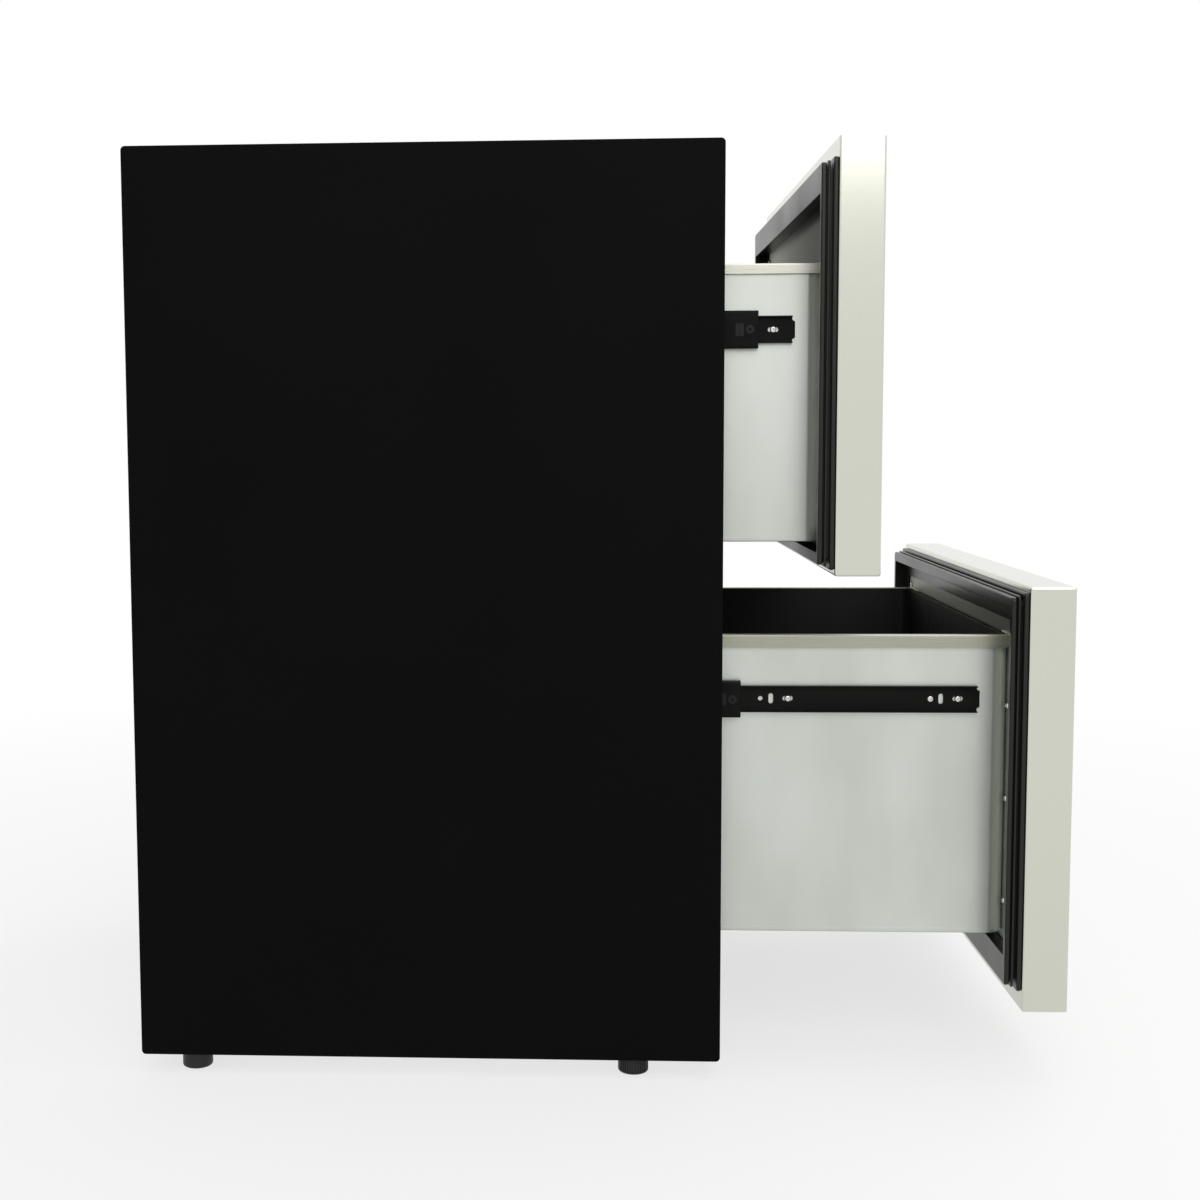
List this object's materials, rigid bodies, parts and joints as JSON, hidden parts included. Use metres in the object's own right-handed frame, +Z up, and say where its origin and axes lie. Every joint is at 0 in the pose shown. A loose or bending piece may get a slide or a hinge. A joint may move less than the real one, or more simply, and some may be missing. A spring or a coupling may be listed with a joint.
{
  "type": "undercounter drawer refrigerator",
  "caption": "Undercounter refrigerator with a black steel cabinet and stainless-fronted drawers that roll out on full-extension ball slides, shown part way open.",
  "frame": {"origin": "on the floor, under the middle of the bounding box with the drawers where they rest", "axes": "+Z up; the drawers open towards -Y; +X is the right-hand side of someone facing the fronts"},
  "size_m": [0.597, 0.875, 0.8775],
  "materials": {
    "cabinet_black": "satin black paint",
    "galvanised": "galvanised sheet",
    "foam": "rigid foam, matte",
    "liner": "dark vacuum-formed plastic",
    "grille": "moulded, matte",
    "cover": "moulded, matte",
    "fins": "mill finish",
    "motor": "satin",
    "fan": "moulded, matte",
    "control": "moulded, matte",
    "lamp": "clear ribbed plastic",
    "knob": "moulded",
    "compressor": null,
    "grommet": "matte",
    "condenser": "black paint",
    "shroud": "black paint",
    "tray": "moulded, matte",
    "copper": "copper tube",
    "gland": "moulded, matte",
    "zinc": "bright zinc plate",
    "foot": "moulded, matte",
    "slide_black": "black electrocoat",
    "cage": "oiled steel strip",
    "stainless": "brushed stainless steel",
    "inner_steel": "brushed stainless steel",
    "gasket": "soft, semi-gloss",
    "box_grey": "light grey satin",
    "tub": "black, matte"
  },
  "bodies": {
    "cabinet": {"left_side_panel": "cabinet_black", "right_side_panel": "cabinet_black", "top_panel": "cabinet_black", "rear_panel": "galvanised", "base_pan": "galvanised", "lower_rail": "cabinet_black", "insulation_foam": "foam", "inner_liner": "liner", "center_mullion": "cabinet_black", "kick_grille": "grille", "evaporator_cover": "cover", "evaporator_coil": "fins", "evaporator_fan_motor": "motor", "control_housing": "control", "lamp_cover": "lamp", "compressor": "compressor", "compressor_grommets": "grommet", "condenser_coil": "condenser", "condenser_fan_shroud": "shroud", "drip_tray": "tray", "refrigerant_line": "copper", "machine_cover": "galvanised", "cord_gland": "gland", "cabinet_screws": "zinc", "upper_outer_members": "slide_black", "lower_outer_members": "slide_black"},
    "evaporator_fan": {"evaporator_fan": "fan"},
    "condenser_fan": {"condenser_fan": "fan"},
    "thermostat_knob": {"thermostat_knob": "knob"},
    "front_left_foot": {"front_left_foot": "foot"},
    "front_right_foot": {"front_right_foot": "foot"},
    "rear_left_foot": {"rear_left_foot": "foot"},
    "rear_right_foot": {"rear_right_foot": "foot"},
    "upper_slide": {"upper_middle_members": "slide_black"},
    "upper_outer_cages": {"upper_outer_cages": "cage"},
    "upper_inner_cages": {"upper_inner_cages": "cage"},
    "upper_drawer": {"upper_front_skin": "stainless", "upper_front_core": "foam", "upper_inner_panel": "inner_steel", "upper_gasket": "gasket", "upper_box": "box_grey", "upper_box_rail": "stainless", "upper_tub": "tub", "upper_brackets": "box_grey", "upper_inner_members": "slide_black", "upper_drawer_screws": "zinc"},
    "lower_slide": {"lower_middle_members": "slide_black"},
    "lower_outer_cages": {"lower_outer_cages": "cage"},
    "lower_inner_cages": {"lower_inner_cages": "cage"},
    "lower_drawer": {"lower_front_skin": "stainless", "lower_front_core": "foam", "lower_inner_panel": "inner_steel", "lower_gasket": "gasket", "lower_box": "box_grey", "lower_box_rail": "stainless", "lower_tub": "tub", "lower_brackets": "box_grey", "lower_inner_members": "slide_black", "lower_drawer_screws": "zinc"}
  },
  "joints": [
    {"name": "upper_slide_extend", "type": "slide", "parent": "cabinet", "child": "upper_slide", "axis": [0, -1, 0], "range_m": [-0.055, 0.171]},
    {"name": "upper_drawer_pull", "type": "slide", "parent": "upper_slide", "child": "upper_drawer", "axis": [0, -1, 0], "range_m": [-0.0317, 0.194]},
    {"name": "upper_outer_cages_roll", "type": "slide", "parent": "cabinet", "child": "upper_outer_cages", "axis": [0, -1, 0], "range_m": [-0.0275, 0.0855]},
    {"name": "upper_inner_cages_roll", "type": "slide", "parent": "upper_slide", "child": "upper_inner_cages", "axis": [0, -1, 0], "range_m": [-0.016, 0.097]},
    {"name": "lower_slide_extend", "type": "slide", "parent": "cabinet", "child": "lower_slide", "axis": [0, -1, 0], "range_m": [-0.041, 0.185]},
    {"name": "lower_drawer_pull", "type": "slide", "parent": "lower_slide", "child": "lower_drawer", "axis": [0, -1, 0], "range_m": [-0.2237, 0.002]},
    {"name": "lower_outer_cages_roll", "type": "slide", "parent": "cabinet", "child": "lower_outer_cages", "axis": [0, -1, 0], "range_m": [-0.0205, 0.0925]},
    {"name": "lower_inner_cages_roll", "type": "slide", "parent": "lower_slide", "child": "lower_inner_cages", "axis": [0, -1, 0], "range_m": [-0.112, 0.001]},
    {"name": "evaporator_fan_spin", "type": "hinge", "parent": "cabinet", "child": "evaporator_fan", "pos_m": [0, 0.3515, 0.737], "axis": [0, 1, 0], "continuous": true},
    {"name": "condenser_fan_spin", "type": "hinge", "parent": "cabinet", "child": "condenser_fan", "pos_m": [0.15, 0.3425, 0.1042], "axis": [0, 1, 0], "continuous": true},
    {"name": "thermostat_turn", "type": "hinge", "parent": "cabinet", "child": "thermostat_knob", "pos_m": [-0.034, -0.09, 0.816], "axis": [0, 1, 0], "range_deg": [0, 300]},
    {"name": "front_left_foot_level", "type": "slide", "parent": "cabinet", "child": "front_left_foot", "axis": [0, 0, -1], "range_m": [0, 0.012]},
    {"name": "front_right_foot_level", "type": "slide", "parent": "cabinet", "child": "front_right_foot", "axis": [0, 0, -1], "range_m": [0, 0.012]},
    {"name": "rear_left_foot_level", "type": "slide", "parent": "cabinet", "child": "rear_left_foot", "axis": [0, 0, -1], "range_m": [0, 0.012]},
    {"name": "rear_right_foot_level", "type": "slide", "parent": "cabinet", "child": "rear_right_foot", "axis": [0, 0, -1], "range_m": [0, 0.012]}
  ],
  "couplings": [
    {"joint": "upper_outer_cages_roll", "follows": "upper_slide_extend", "ratio": 0.5},
    {"joint": "upper_inner_cages_roll", "follows": "upper_drawer_pull", "ratio": 0.5},
    {"joint": "lower_outer_cages_roll", "follows": "lower_slide_extend", "ratio": 0.5},
    {"joint": "lower_inner_cages_roll", "follows": "lower_drawer_pull", "ratio": 0.5}
  ]
}
